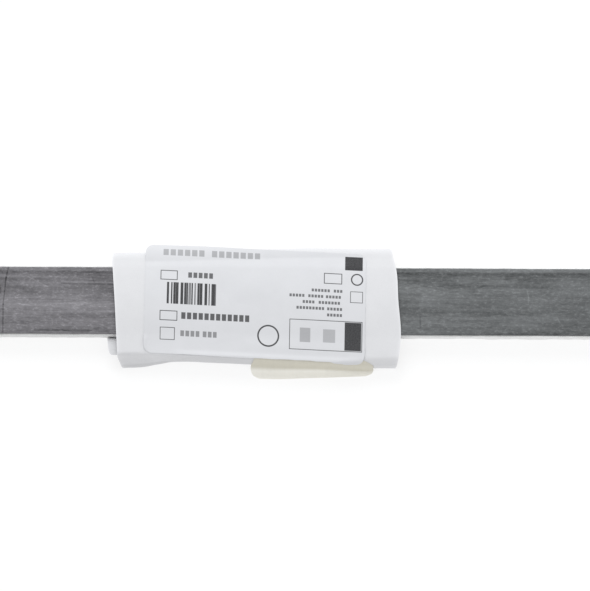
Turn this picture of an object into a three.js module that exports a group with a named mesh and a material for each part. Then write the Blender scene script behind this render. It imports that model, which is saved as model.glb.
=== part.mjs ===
// A finger splint strip with its paper sleeve: a band of soft aluminium on a foam pad lies
// metal side up, one paper sheet is wound round it, a sticker lies on the sleeve's front and
// a cream tab comes out from under the sticker and flares on the surface below.
// Millimetres, +Z up, +X along the strip. The origin is on that surface, under the middle
// of the strip.
import * as THREE from "three";

// Gap between pieces that lie on each other
const CLEARANCE = 0.3;

// Strip
const STRIP_LENGTH = 450;
const METAL_WIDTH = 24.5;
const METAL_THICKNESS = 1;
const METAL_CORNER = 1.5; // radius of the corners at the cut ends
const METAL_EDGE = 0.2; // rounding of the long edges
const FOAM_OVERHANG = 0.5; // how far the foam stands out past the metal all round
const FOAM_THICKNESS = 5;
const FOAM_EDGE = 0.35;
const EDGE_STEPS = 2;
const CORNER_STEPS = 5;

// Sleeve
const PAPER_WALL = 0.5;
const SLEEVE_LENGTH = 102.4; // the sheet's width, which lies along the strip
const SLEEVE_OFFSET = -13; // from the strip's middle to the sleeve's
const TOP_ROOM = 5; // from the foam's side to the inside of the fold on the +Y side
const BOTTOM_ROOM = 10.4; // the same on the -Y side
const TOP_REACH = 3.5; // how far the bend of the +Y fold reaches in from its outermost line
const BOTTOM_REACH = 5;
const INNER_END_ROOM = 5.5; // from the foam's -Y side to the sheet's first edge, under the strip
const OUTER_END_ROOM = 6; // from the foam's +Y side back to the sheet's last edge
const SLEEVE_COLUMNS = 24;

// Rows along the sleeve from its left end, with the room and reach of its two folds as
// shares of the sizes above. The low row near the left is the dent in the -Y fold.
const FOLDS = [
  { along: 0, topRoom: 0.8, bottomRoom: 1, bottomReach: 1 },
  { along: 0.11, topRoom: 0.84, bottomRoom: 0.96, bottomReach: 0.85 },
  { along: 0.2, topRoom: 0.9, bottomRoom: 0.78, bottomReach: 0.55 },
  { along: 0.34, topRoom: 1, bottomRoom: 0.83, bottomReach: 0.58 },
  { along: 0.5, topRoom: 1.1, bottomRoom: 0.91, bottomReach: 0.65 },
  { along: 0.75, topRoom: 1.18, bottomRoom: 0.95, bottomReach: 0.75 },
  { along: 1, topRoom: 1.2, bottomRoom: 0.97, bottomReach: 0.9 },
];

// Stretches of the sheet in the order it is wound, with the steps that each is drawn in
const SHEET_STEPS = { innerBack: 3, topFold: 8, front: 6, bottomFold: 10, outerBack: 3 };

// Places of the sheet's left and right edges as shares of its width from its middle. A turn
// of 0 is the sheet's first edge and each stretch above adds 1.
const SHEET_EDGES = [
  { turn: 0, left: -0.536, right: 0.45 },
  { turn: 1, left: -0.527, right: 0.46 },
  { turn: 1.5, left: -0.52, right: 0.469 },
  { turn: 2, left: -0.516, right: 0.476 },
  { turn: 2.1, left: -0.514, right: 0.483 },
  { turn: 2.5, left: -0.507, right: 0.493 },
  { turn: 2.8, left: -0.501, right: 0.5 },
  { turn: 3, left: -0.495, right: 0.496 },
  { turn: 3.5, left: -0.477, right: 0.482 },
  { turn: 4, left: -0.466, right: 0.476 },
  { turn: 5, left: -0.456, right: 0.468 },
];

// Label
const LABEL_WIDTH = 80;
const LABEL_HEIGHT = 40;
const LABEL_WALL = 0.3;
const LABEL_CORNER = 3;
const LABEL_OFFSET = -1.2; // from the sleeve's middle to the label's
const LABEL_TURN = 2.75; // degrees clockwise, seen from above
const LABEL_WRAP = 3.7; // how far its lower right corner is bent over the -Y fold
const LABEL_CURL = 9; // radius of its bend past the +Y fold
const LABEL_CURL_LIMIT = 32; // degrees of that bend, and straight beyond it
const LABEL_COLUMNS = 24;
const LABEL_ROWS = 16;

// Tab
const TAB_WIDTH = 43.6;
const TAB_WALL = 0.4;
const TAB_OFFSET = 20.4; // from the label's middle to the tab's
const TAB_LAP = 4; // how far it reaches in under the label's lower edge
const TAB_FLARE = 1.7; // how far it lies out on the surface past its bend, on average
const TAB_FLARE_SKEW = 0.65; // share by which it lies out more at the left end, less at the right
const TAB_BEND = 1.3; // radius where it turns out onto the surface
const TAB_RAMP = 4; // distance over which the label climbs onto the tab
const TAB_COLUMNS = 14;
const TAB_STEPS = { underLabel: 3, overFold: 6, drop: 3, bend: 4, flare: 5 };

// Places of the tab's edges as shares of its width, with a turn as on the sheet. The last
// rows round the corners of its free end.
const TAB_EDGES = [
  { turn: 0, left: -0.5, right: 0.39 },
  { turn: 1, left: -0.51, right: 0.4 },
  { turn: 2, left: -0.52, right: 0.43 },
  { turn: 3, left: -0.5, right: 0.49 },
  { turn: 4, left: -0.48, right: 0.5 },
  { turn: 4.4, left: -0.467, right: 0.497 },
  { turn: 4.8, left: -0.445, right: 0.475 },
  { turn: 5, left: -0.415, right: 0.43 },
];

// Heights and half widths that follow from the sizes above
const innerLayerZ = PAPER_WALL * 1.5 + CLEARANCE;
const outerLayerZ = PAPER_WALL / 2;
const foamBottomZ = innerLayerZ + PAPER_WALL / 2 + CLEARANCE;
const metalBottomZ = foamBottomZ + FOAM_THICKNESS;
const frontZ = metalBottomZ + METAL_THICKNESS + CLEARANCE + PAPER_WALL / 2;
const foamHalfWidth = METAL_WIDTH / 2 + FOAM_OVERHANG;
const sleeveLeftX = SLEEVE_OFFSET - SLEEVE_LENGTH / 2;
const labelMiddleX = SLEEVE_OFFSET + LABEL_OFFSET;
const tabMiddleX = labelMiddleX + TAB_OFFSET;
const labelTurn = THREE.MathUtils.degToRad(LABEL_TURN);

// A smooth reading of one column of a table between its rows
function reading(table, key, column) {
  const places = table.map((row) => row[key]);
  const values = table.map((row) => row[column]);
  const curve = new THREE.CubicInterpolant(places, values, 1);
  return (place) => curve.evaluate(THREE.MathUtils.clamp(place, places[0], places.at(-1)))[0];
}

const topRoomAt = reading(FOLDS, "along", "topRoom");
const bottomRoomAt = reading(FOLDS, "along", "bottomRoom");
const bottomReachAt = reading(FOLDS, "along", "bottomReach");

// The middle surface of the sleeve's folds at a place along the strip
function foldsAt(x) {
  const along = (x - sleeveLeftX) / SLEEVE_LENGTH;
  return {
    topY: foamHalfWidth + TOP_ROOM * topRoomAt(along) + PAPER_WALL / 2,
    bottomY: -(foamHalfWidth + BOTTOM_ROOM * bottomRoomAt(along) + PAPER_WALL / 2),
    bottomReach: BOTTOM_REACH * bottomReachAt(along),
  };
}

// Half of an upright ellipse in the section, from its lowest point to its highest or back
function halfEllipse(y, lowZ, highZ, reach, start) {
  const middleZ = (lowZ + highZ) / 2;
  return new THREE.EllipseCurve(y, middleZ, reach, (highZ - lowZ) / 2, start, start + Math.PI);
}

// The sheet's stretches at a place along the strip, as curves of y and z
function sheetSection(x) {
  const { topY, bottomY, bottomReach } = foldsAt(x);
  const topBendY = topY - TOP_REACH;
  const bottomBendY = bottomY + bottomReach;
  const point = (y, z) => new THREE.Vector2(y, z);
  return [
    new THREE.LineCurve(
      point(-(foamHalfWidth + INNER_END_ROOM), innerLayerZ),
      point(topBendY, innerLayerZ),
    ),
    halfEllipse(topBendY, innerLayerZ, frontZ, TOP_REACH, -Math.PI / 2),
    new THREE.LineCurve(point(topBendY, frontZ), point(bottomBendY, frontZ)),
    halfEllipse(bottomBendY, outerLayerZ, frontZ, bottomReach, Math.PI / 2),
    new THREE.LineCurve(
      point(bottomBendY, outerLayerZ),
      point(foamHalfWidth - OUTER_END_ROOM, outerLayerZ),
    ),
  ];
}

// The turns at which a band is drawn, from the steps of its stretches
function turnsOf(steps) {
  const turns = [0];
  Object.values(steps).forEach((count, stretch) => {
    for (let step = 1; step <= count; step++) turns.push(stretch + step / count);
  });
  return turns;
}

// A point of a band whose section is a list of curves
function bandPoint(section, turn, x) {
  const stretch = Math.min(Math.floor(turn), section.length - 1);
  const { x: y, y: z } = section[stretch].getPointAt(turn - stretch);
  return new THREE.Vector3(x, y, z);
}

// A closed sheet of even thickness round a grid of points on its middle surface
function sheetSolid(grid, wall) {
  const rows = grid.length;
  const columns = grid[0].length;
  const slope = (before, after) => new THREE.Vector3().subVectors(after, before);
  const vertices = [];
  for (const side of [1, -1]) {
    for (let r = 0; r < rows; r++) {
      for (let c = 0; c < columns; c++) {
        const down = slope(grid[Math.max(r - 1, 0)][c], grid[Math.min(r + 1, rows - 1)][c]);
        const across = slope(grid[r][Math.max(c - 1, 0)], grid[r][Math.min(c + 1, columns - 1)]);
        const normal = across.cross(down).normalize();
        vertices.push(...grid[r][c].clone().addScaledVector(normal, (side * wall) / 2));
      }
    }
  }
  const at = (side, r, c) => side * rows * columns + r * columns + c;
  const faces = [];
  const quad = (a, b, c, d) => faces.push(a, b, c, a, c, d);
  for (let r = 0; r + 1 < rows; r++) {
    for (let c = 0; c + 1 < columns; c++) {
      quad(at(0, r, c), at(0, r, c + 1), at(0, r + 1, c + 1), at(0, r + 1, c));
      quad(at(1, r, c), at(1, r + 1, c), at(1, r + 1, c + 1), at(1, r, c + 1));
    }
    quad(at(0, r, 0), at(0, r + 1, 0), at(1, r + 1, 0), at(1, r, 0));
    const last = columns - 1;
    quad(at(0, r, last), at(1, r, last), at(1, r + 1, last), at(0, r + 1, last));
  }
  for (let c = 0; c + 1 < columns; c++) {
    quad(at(0, 0, c), at(1, 0, c), at(1, 0, c + 1), at(0, 0, c + 1));
    const last = rows - 1;
    quad(at(0, last, c), at(0, last, c + 1), at(1, last, c + 1), at(1, last, c));
  }
  const geometry = new THREE.BufferGeometry();
  geometry.setAttribute("position", new THREE.Float32BufferAttribute(vertices, 3));
  geometry.setIndex(faces);
  geometry.computeVertexNormals();
  return geometry;
}

// A flat band with round corners and softened edges, standing on the plane z = 0
function bandGeometry(length, width, thickness, corner, edge) {
  const [halfLength, halfWidth] = [length / 2 - edge, width / 2 - edge];
  const outline = new THREE.Shape();
  outline.moveTo(halfLength - corner, -halfWidth);
  outline.absarc(halfLength - corner, corner - halfWidth, corner, -Math.PI / 2, 0);
  outline.absarc(halfLength - corner, halfWidth - corner, corner, 0, Math.PI / 2);
  outline.absarc(corner - halfLength, halfWidth - corner, corner, Math.PI / 2, Math.PI);
  outline.absarc(corner - halfLength, corner - halfWidth, corner, Math.PI, Math.PI * 1.5);
  return new THREE.ExtrudeGeometry(outline, {
    depth: thickness - 2 * edge,
    bevelThickness: edge,
    bevelSize: edge,
    bevelSegments: EDGE_STEPS,
    curveSegments: CORNER_STEPS,
  }).translate(0, 0, edge);
}

function aluminiumStrip() {
  const geometry = bandGeometry(
    STRIP_LENGTH,
    METAL_WIDTH,
    METAL_THICKNESS,
    METAL_CORNER,
    METAL_EDGE,
  );
  return geometry.translate(0, 0, metalBottomZ);
}

function foamPad() {
  const geometry = bandGeometry(
    STRIP_LENGTH + 2 * FOAM_OVERHANG,
    METAL_WIDTH + 2 * FOAM_OVERHANG,
    FOAM_THICKNESS,
    METAL_CORNER + FOAM_OVERHANG,
    FOAM_EDGE,
  );
  return geometry.translate(0, 0, foamBottomZ);
}

// One sheet wound from under the strip over the +Y fold, the front and the -Y fold, and
// back under itself
function paperSleeve() {
  const leftAt = reading(SHEET_EDGES, "turn", "left");
  const rightAt = reading(SHEET_EDGES, "turn", "right");
  const grid = turnsOf(SHEET_STEPS).map((turn) => {
    const left = SLEEVE_OFFSET + SLEEVE_LENGTH * leftAt(turn);
    const right = SLEEVE_OFFSET + SLEEVE_LENGTH * rightAt(turn);
    return Array.from({ length: SLEEVE_COLUMNS + 1 }, (_, column) => {
      const x = THREE.MathUtils.lerp(left, right, column / SLEEVE_COLUMNS);
      return bandPoint(sheetSection(x), turn, x);
    });
  });
  return sheetSolid(grid, PAPER_WALL);
}

// The curve round the outside of the -Y fold at a lift off the sheet's middle surface
function foldOutside(x, lift) {
  const { bottomY, bottomReach } = foldsAt(x);
  const fold = new THREE.EllipseCurve(
    bottomY + bottomReach,
    (outerLayerZ + frontZ) / 2,
    bottomReach + lift,
    (frontZ - outerLayerZ) / 2 + lift,
    Math.PI / 2,
    Math.PI,
  );
  return fold;
}

// The point of the label that lies this far across the sleeve's front, measured over the
// paper from the strip's middle line: flat on the front, bent down past either fold
function labelPoint(x, across, lift) {
  const { topY, bottomY, bottomReach } = foldsAt(x);
  const topEnd = topY - TOP_REACH;
  const bottomEnd = bottomY + bottomReach;
  if (across > topEnd) {
    const limit = THREE.MathUtils.degToRad(LABEL_CURL_LIMIT);
    const angle = Math.min((across - topEnd) / LABEL_CURL, limit);
    const straight = across - topEnd - angle * LABEL_CURL;
    return new THREE.Vector3(
      x,
      topEnd + LABEL_CURL * Math.sin(angle) + straight * Math.cos(angle),
      frontZ + lift - LABEL_CURL * (1 - Math.cos(angle)) - straight * Math.sin(angle),
    );
  }
  if (across >= bottomEnd) return new THREE.Vector3(x, across, frontZ + lift);
  const fold = foldOutside(x, lift);
  const beyond = bottomEnd - across;
  const length = fold.getLength();
  const { x: y, y: z } = fold.getPointAt(Math.min(beyond / length, 1));
  return new THREE.Vector3(x, y, z - Math.max(beyond - length, 0));
}

// Where the label's lower edge lies across the sleeve at a place along the strip
const labelCornerX = labelMiddleX + (LABEL_WIDTH / 2) * Math.cos(labelTurn);
const labelCornerFolds = foldsAt(labelCornerX);
const labelCornerY = labelCornerFolds.bottomY + labelCornerFolds.bottomReach - LABEL_WRAP;
function labelLowerEdge(x) {
  return labelCornerY + (labelCornerX - x) * Math.tan(labelTurn);
}
const labelMiddleY = labelLowerEdge(labelMiddleX) + LABEL_HEIGHT / 2 / Math.cos(labelTurn);

// How much of the tab's thickness the label stands on at a place, from 0 to 1
function tabShare(x, across) {
  const beside = Math.abs(x - tabMiddleX) - TAB_WIDTH / 2;
  const above = across - (labelLowerEdge(x) + TAB_LAP);
  const besideShare = 1 - THREE.MathUtils.smoothstep(beside, 0, TAB_RAMP);
  const aboveShare = 1 - THREE.MathUtils.smoothstep(above, 0, TAB_RAMP);
  return besideShare * aboveShare;
}

// Half the label's width at a height from its middle, narrower in its round corners
function labelHalfWidth(height) {
  const intoCorner = Math.max(Math.abs(height) - (LABEL_HEIGHT / 2 - LABEL_CORNER), 0);
  const cornerWidth = Math.sqrt(Math.max(LABEL_CORNER ** 2 - intoCorner ** 2, 0));
  return LABEL_WIDTH / 2 - LABEL_CORNER + cornerWidth;
}

// Heights of the label's rows: even ones on its straight sides, and by angle in its corners
function labelHeights() {
  const straight = LABEL_HEIGHT / 2 - LABEL_CORNER;
  const corner = [];
  for (let step = 1; step <= CORNER_STEPS; step++) {
    corner.push(straight + LABEL_CORNER * Math.sin((Math.PI / 2) * (step / CORNER_STEPS)));
  }
  const sides = Array.from({ length: LABEL_ROWS + 1 }, (_, row) => {
    return THREE.MathUtils.lerp(-straight, straight, row / LABEL_ROWS);
  });
  return [...corner.map((height) => -height).reverse(), ...sides, ...corner].reverse();
}

function label() {
  const paperLift = (PAPER_WALL + LABEL_WALL) / 2 + CLEARANCE;
  const tabLift = TAB_WALL + CLEARANCE;
  const grid = labelHeights().map((height) => {
    const half = labelHalfWidth(height);
    return Array.from({ length: LABEL_COLUMNS + 1 }, (_, column) => {
      const width = THREE.MathUtils.lerp(-half, half, column / LABEL_COLUMNS);
      const x = labelMiddleX + width * Math.cos(labelTurn) + height * Math.sin(labelTurn);
      const across = labelMiddleY - width * Math.sin(labelTurn) + height * Math.cos(labelTurn);
      return labelPoint(x, across, paperLift + tabLift * tabShare(x, across));
    });
  });
  return sheetSolid(grid, LABEL_WALL);
}

// The tab's stretches at a place along the strip: under the label, over the -Y fold, down
// to the surface, round onto it and out
function tabSection(x) {
  const lift = (PAPER_WALL + TAB_WALL) / 2 + CLEARANCE;
  const fold = foldOutside(x, lift);
  const [foldStart, foldEnd] = [fold.getPoint(0), fold.getPoint(1)];
  const lowZ = TAB_WALL / 2;
  const bendY = foldEnd.x - TAB_BEND;
  const skew = (2 * (tabMiddleX - x) * TAB_FLARE_SKEW) / TAB_WIDTH;
  const flareEnd = new THREE.Vector2(bendY - TAB_FLARE * (1 + skew), lowZ);
  const flareStart = new THREE.Vector2(bendY, lowZ);
  return [
    new THREE.LineCurve(
      new THREE.Vector2(labelLowerEdge(x) + TAB_LAP, foldStart.y),
      foldStart,
    ),
    fold,
    new THREE.LineCurve(foldEnd, new THREE.Vector2(foldEnd.x, lowZ + TAB_BEND)),
    new THREE.EllipseCurve(bendY, lowZ + TAB_BEND, TAB_BEND, TAB_BEND, 0, -Math.PI / 2, true),
    new THREE.LineCurve(flareStart, flareEnd),
  ];
}

function closingTab() {
  const leftAt = reading(TAB_EDGES, "turn", "left");
  const rightAt = reading(TAB_EDGES, "turn", "right");
  const grid = turnsOf(TAB_STEPS).map((turn) => {
    const left = tabMiddleX + TAB_WIDTH * leftAt(turn);
    const right = tabMiddleX + TAB_WIDTH * rightAt(turn);
    return Array.from({ length: TAB_COLUMNS + 1 }, (_, column) => {
      const x = THREE.MathUtils.lerp(left, right, column / TAB_COLUMNS);
      return bandPoint(tabSection(x), turn, x);
    });
  });
  return sheetSolid(grid, TAB_WALL);
}

// Finishes
const metal = { color: 0x7f7f82, roughness: 0.45, metalness: 0.9 };
const foam = { color: 0xd8d8d6, roughness: 0.95, metalness: 0 };
const whitePaper = { color: 0xe9eaec, roughness: 0.85, metalness: 0 };
const labelPaper = { color: 0xeff0f2, roughness: 0.55, metalness: 0 };
const creamPaper = { color: 0xe2dfd0, roughness: 0.85, metalness: 0 };

function piece(name, geometry, finish) {
  const mesh = new THREE.Mesh(geometry, new THREE.MeshStandardMaterial(finish));
  mesh.name = name;
  return mesh;
}

const splint = new THREE.Group();
splint.add(
  piece("aluminium_strip", aluminiumStrip(), metal),
  piece("foam_pad", foamPad(), foam),
  piece("paper_sleeve", paperSleeve(), whitePaper),
  piece("label", label(), labelPaper),
  piece("closing_tab", closingTab(), creamPaper),
);

export default splint;
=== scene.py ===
"""A finger splint strip with its paper sleeve: a band of soft aluminium on a foam pad, metal
side up, one sheet of paper wound round it, a sticker on the sleeve's front and a cream tab
that comes out from under the sticker. Sizes are in millimetres until a mesh is made."""

import math

import bpy
import numpy as np
from mathutils import Matrix, Vector


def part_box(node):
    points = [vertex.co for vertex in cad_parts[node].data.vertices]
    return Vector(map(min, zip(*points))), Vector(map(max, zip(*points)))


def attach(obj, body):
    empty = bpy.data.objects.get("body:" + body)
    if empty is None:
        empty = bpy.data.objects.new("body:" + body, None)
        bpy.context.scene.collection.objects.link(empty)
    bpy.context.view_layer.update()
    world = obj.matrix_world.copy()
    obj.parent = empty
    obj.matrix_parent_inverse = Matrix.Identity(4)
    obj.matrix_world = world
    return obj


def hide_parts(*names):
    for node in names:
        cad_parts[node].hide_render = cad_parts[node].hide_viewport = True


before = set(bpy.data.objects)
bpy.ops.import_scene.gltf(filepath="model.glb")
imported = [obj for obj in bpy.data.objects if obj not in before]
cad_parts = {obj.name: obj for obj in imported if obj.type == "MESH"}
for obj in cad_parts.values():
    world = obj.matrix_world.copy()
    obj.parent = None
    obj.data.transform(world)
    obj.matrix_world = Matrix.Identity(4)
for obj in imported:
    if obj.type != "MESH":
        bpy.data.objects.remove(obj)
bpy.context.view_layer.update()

MM = 0.001
SHARP_ANGLE = math.radians(50)  # two faces that meet at more than this show an edge

# Camera, as the photo was taken
IMAGE_WIDTH = 213.6  # what the picture's width shows at the metal's height
CAMERA_ELEVATION = 80
CAMERA_ROLL = 0.24
CAMERA_DISTANCE = 1500
CAMERA_TARGET_Y = 2.05
SENSOR_WIDTH = 36

# Strip
METAL_EDGE = 0.16
METAL_CORNER = 1.5
METAL_WAVE = 0.03  # how far the hand-worn metal is off flat
METAL_STEP = 1.5
METAL_ROWS = (48, 2)  # points across its face, and up each side
FOAM_EDGE = 0.45
FOAM_CORNER = 1.9
FOAM_WAVE = 0.08
FOAM_STEP = 0.8
FOAM_ROWS = (12, 6)
BAND_CORNER_RINGS = 9  # round each corner in plan
BAND_EDGE_RINGS = 4  # over the soft edge of each end
EDGE_POINTS = 5  # round each soft edge of a band's section
END_RINGS = 5  # on each end face of a band
END_INSET = 0.9  # of half the height, where an end face closes
LEAST_EDGE = 0.02  # radius that the section's soft edges keep in an end face

# Sleeve
PAPER_WALL = 0.15
PAPER_GAP = 0.06  # between paper and what it lies on
INNER_LAYER_Z = 1.35
FRONT_CROWN = 0.9  # how far the front arches off the metal
FRONT_FALL = 0.26  # its slope from the metal's edge to the +Y fold
TOP_BEND_REACH = 3.5
TOP_BEND_POINTS = 9
FRONT_POINTS = 15
OUTER_EDGE_Y = 6.9
FRONT_SHARES = (0.3, 0.62)  # of the way along the section, between which the front crosses y = 0
SECTION_POINTS = 640
SECTION_SMOOTHING = 0.22  # how round the sleeve's creases are
SLEEVE_ROWS = 150
SLEEVE_COLUMNS = 150
SLEEVE_REACH = (-69.0, 40.0)  # places along the strip that the sleeve's section is worked out for
SLEEVE_STATIONS = 219
SLEEVE_HILLS = [(0.15, 44, 11), (0.05, 15, 12)]  # height, size and seed of its soft relief
SLEEVE_RISE = 0.2
MOUTH_FLARE = 0.2  # how far its two open ends bend off the strip
MOUTH_FLARE_WIDTH = 1.6
# Width of the painted highlight along the sheet's cut ends
RIM_WIDTH = 0.45
CLEAR_FROM = (-30, -24)  # ways over the paper between which its relief sets in and ends
CLEAR_TO = (26, 20)

# The sheet's free inner edge, which curls up beyond the foam: y and z from the edge inwards
INNER_CURL = [
    (-19.7, 5.35),
    (-17.5, 5.65),
    (-15.9, 5.7),
    (-14.5, 5.6),
    (-13.65, 5.25),
    (-13.4, 4.3),
    (-13.35, 2.2),
    (-12.9, 1.5),
    (-12.2, 1.35),
]

# The fold on the +Y side at places along the strip: its outermost line
TOP_FOLD = np.array([
    [-69.0, 17.5],
    [-61.0, 17.95],
    [-53.0, 18.0],
    [-43.0, 18.2],
    [-29.0, 18.6],
    [-13.0, 19.15],
    [13.0, 19.85],
    [40.0, 19.85],
])

# The fold on the -Y side at places along the strip: where the front breaks, the second
# crease below it and the outermost line, each as y and z
BOTTOM_FOLD = np.array([
    [-69.0, -19.3, 7.1, -23.1, 3.3, -23.5, 1.3],
    [-62.0, -19.45, 7.2, -23.3, 3.0, -23.75, 1.2],
    [-57.6, -19.5, 7.2, -23.05, 3.1, -23.65, 1.0],
    [-54.0, -19.55, 7.2, -22.5, 3.2, -23.2, 0.9],
    [-50.3, -19.6, 7.2, -21.8, 3.3, -22.5, 0.9],
    [-45.1, -19.75, 7.2, -21.05, 3.6, -21.4, 1.2],
    [-40.5, -19.95, 7.2, -21.0, 3.8, -21.25, 1.5],
    [-32.0, -20.25, 7.1, -21.3, 4.0, -21.6, 1.8],
    [-18.5, -20.65, 7.0, -22.0, 4.2, -22.35, 2.0],
    [-14.5, -20.9, 7.0, -22.1, 4.3, -22.5, 2.1],
    [4.3, -21.9, 6.8, -22.7, 4.4, -23.0, 2.3],
    [16.0, -22.1, 6.7, -22.9, 4.5, -23.3, 2.5],
    [28.0, -20.9, 6.9, -22.8, 5.4, -23.5, 3.0],
    [40.0, -20.4, 6.9, -22.6, 5.5, -23.4, 3.1],
])
FACE_DENT = 1.0  # how deep the left end of the fold's face is dented between its creases
FACE_DENT_REACH = (-43.0, -56.0)
FACE_DENT_PLACE = 0.42  # share of the way from the first crease to the second
FOOT_REACH = 1.3  # how far inside its outermost line the sheet comes down on the surface

# The sheet's left and right edges, by the way over the paper from the strip's middle line
SHEET_EDGES = np.array([
    [-60.0, -59.6, 34.8],
    [-32.0, -60.6, 35.7],
    [-28.0, -61.3, 35.8],
    [-26.0, -61.8, 36.1],
    [-22.8, -63.0, 36.9],
    [-20.0, -63.9, 37.5],
    [-15.8, -64.2, 38.1],
    [-12.8, -64.4, 38.3],
    [0.0, -65.1, 37.4],
    [12.4, -66.0, 36.5],
    [16.5, -66.3, 35.5],
    [19.5, -66.4, 35.0],
    [25.0, -66.4, 34.1],
    [31.0, -66.5, 33.8],
    [45.0, -67.8, 33.5],
    [50.0, -67.9, 33.4],
    [59.5, -67.7, 33.3],
    [62.1, -67.4, 33.2],
    [63.3, -67.0, 33.2],
    [63.9, -66.4, 33.1],
])

# Label
LABEL_WIDTH = 80
LABEL_HEIGHT = 40
LABEL_WALL = 0.12
LABEL_CORNER = 3
LABEL_MIDDLE_X = -14.45
LABEL_TURN = math.radians(2.6)
LABEL_LEAN = math.radians(0.8)  # its sides lean less than its long edges turn
LABEL_LOWER_Y = -20.85  # its lower edge at its middle, over the paper from the strip's middle
LABEL_CURL = 16  # radius of its bend past the +Y fold
LABEL_CURL_LIMIT = math.radians(20)
LIP_HEIGHT = 0.4  # how far its lower edge and lower left corner spring up
LIP_WIDTH = 2.0
LIP_START = (-32, -22)
CORNER_LIP_WIDTH = 1.6
CORNER_LIP_REACH = (-13, -15.5)
LABEL_COLUMNS = 160
LABEL_ROWS = 80
LABEL_CORNER_ROWS = 8

# Tab
TAB_WIDTH = 43.6
TAB_WALL = 0.14
TAB_MIDDLE_X = 6.2
TAB_LAP = 4  # how far it reaches up under the label
TAB_RAMP = 4  # width of the slope of the label round it
TAB_LEAVES = -25.2  # the way over the paper where it leaves the sleeve
TAB_BEND_Y = -24.3  # where it turns out onto the surface
TAB_BEND_ROOM = 0.5
TAB_RISES = (0.12, 0.25)  # how far it rises again halfway to its free edge and at the edge
TAB_REACH = (-18, 30)
TAB_STATIONS = 97
TAB_LAID_POINTS = 14
TAB_ROWS = 80
TAB_COLUMNS = 90
TAB_SMOOTHING = 0.5

# The tab's free edge at places along the strip
TAB_END = np.array([
    [-17.0, -27.2],
    [-5.5, -27.5],
    [2.0, -27.2],
    [18.0, -26.65],
    [29.0, -26.15],
])

# The tab's left and right edges by share of its way down
TAB_EDGES = np.array([
    [0.0, -14.6, 23.2],
    [0.22, -14.7, 24.4],
    [0.3, -14.8, 26.4],
    [0.38, -15.0, 27.9],
    [0.6, -15.8, 28.4],
    [0.78, -15.9, 28.5],
    [0.88, -15.5, 28.3],
    [0.95, -14.6, 27.6],
    [1.0, -12.9, 25.8],
])

# Colours, linear
# The metal's left end is painted lighter than its right end: painted light, for light that falls
# unevenly along the strip
METAL_LEFT_PAINTED_LIGHTER = (0.203, 0.198, 0.208, 1)
METAL_RIGHT_PAINTED_DARKER = (0.156, 0.162, 0.164, 1)
SIDE_CHANGE = (-50.0, 30.0)  # along the strip, from its left looks to its right ones
FOAM_COLOUR = (0.8, 0.8, 0.795)
# How much lighter the foam is painted towards its right end: painted light
FOAM_RIGHT_PAINTED_LIGHT = 0.12
SLEEVE_COLOUR = (0.71, 0.712, 0.725)
# How much lighter the sheet is painted along its cut ends: a painted highlight
RIM_HIGHLIGHT_GAIN = 0.12
# The tab's cream in two copies: painted shade where it bends down over the fold, painted light
# where it lies out on the surface
TAB_PAINTED_SHADE_CREAM = (0.655, 0.63, 0.54, 1)
TAB_PAINTED_LIGHT_CREAM = (0.985, 0.97, 0.91, 1)
LABEL_COLOUR = (0.675, 0.68, 0.698)
INK = (0.018, 0.018, 0.02, 1)

# Surroundings
SURFACE_GAP = 0.06
FLOOR_HALF = 3000
FLOOR_COLOUR = (0.3, 0.3, 0.3)
FLOOR_GLOW = 0.72  # a faint light of the floor's own, which keeps its shadows pale
SKY_COLOUR = (0.985, 0.99, 1.0, 1)
SKY_STRENGTH = 0.83
KEY_PLACE = (-0.25, 1.35, 1.0)  # metres
KEY_SIZE = 1.2
KEY_POWER = 14.0
KEY_COLOUR = (0.97, 0.985, 1.0)


def reading(table, places):
    """Smooth readings of a table's columns between its rows"""
    knots = table[:, 0]
    values = table[:, 1:]
    slopes = np.gradient(values, knots, axis=0)
    places = np.clip(places, knots[0], knots[-1])
    row = np.clip(np.searchsorted(knots, places, side="right") - 1, 0, len(knots) - 2)
    span = (knots[row + 1] - knots[row])[..., None]
    t = (places - knots[row])[..., None] / span
    low = values[row] * (1 + 2 * t) * (1 - t) ** 2 + slopes[row] * span * t * (1 - t) ** 2
    high = values[row + 1] * t**2 * (3 - 2 * t) - slopes[row + 1] * span * t**2 * (1 - t)
    return np.moveaxis(low + high, -1, 0)


def ripple(u, v, size, seed):
    """A soft random relief of about -1 to 1, with hills about half of size wide"""
    random = np.random.default_rng(seed)
    total = np.zeros(np.broadcast(u, v).shape)
    waves = 14
    for _ in range(waves):
        angle, phase = random.uniform(0, math.tau, 2)
        length = size * random.uniform(0.7, 1.5)
        way = (u * math.cos(angle) + v * math.sin(angle)) * math.tau / length
        total += np.sin(way + phase)
    return total / math.sqrt(waves / 2)


def smoothstep(value, low, high):
    """0 on low's side and 1 on high's, with a soft step between. low may be the larger one."""
    t = np.clip((value - low) / (high - low), 0, 1)
    return t * t * (3 - 2 * t)


def grid_faces(index):
    """Faces between neighbours in a grid of point numbers"""
    corners = [index[:-1, :-1], index[:-1, 1:], index[1:, 1:], index[1:, :-1]]
    return np.stack(corners, -1).reshape(-1, 4)


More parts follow.
